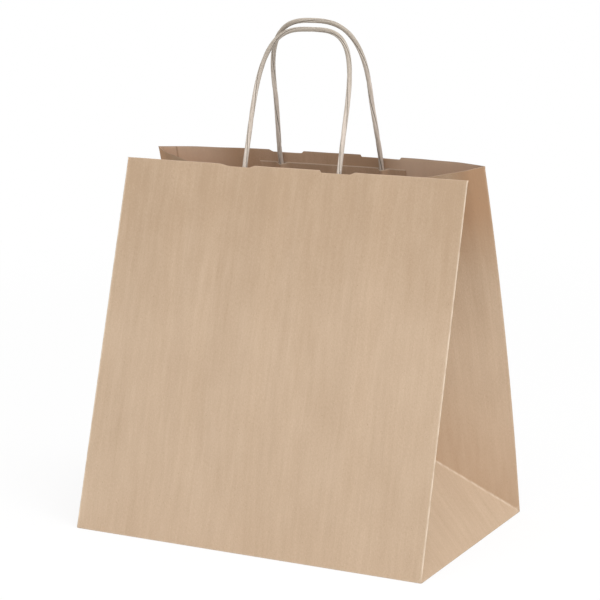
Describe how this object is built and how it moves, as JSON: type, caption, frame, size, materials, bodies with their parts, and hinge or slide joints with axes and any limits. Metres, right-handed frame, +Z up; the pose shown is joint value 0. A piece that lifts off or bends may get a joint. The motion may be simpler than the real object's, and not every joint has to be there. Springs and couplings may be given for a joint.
{
  "type": "paper carrier bag with twisted handles",
  "caption": "Open block-bottom kraft paper bag with folded side gussets and two twisted paper handles glued inside the mouth.",
  "frame": {"origin": "middle of the base, on the surface that the bag stands on", "axes": "+Z up, -Y out of the front panel, +X to the right seen from the front"},
  "size_m": [0.3, 0.2001, 0.4016],
  "materials": {
    "kraft_sheet": "uncoated machine-ribbed kraft paper, matte",
    "patch_paper": "uncoated kraft paper, matte",
    "paper_cord": "tightly twisted paper cord, matte"
  },
  "bodies": {
    "root": {"bag_body": "kraft_sheet", "front_patch_backing": "patch_paper", "front_patch_cover": "patch_paper", "back_patch_backing": "patch_paper", "back_patch_cover": "patch_paper", "front_handle": "paper_cord", "back_handle": "paper_cord"}
  },
  "joints": []
}
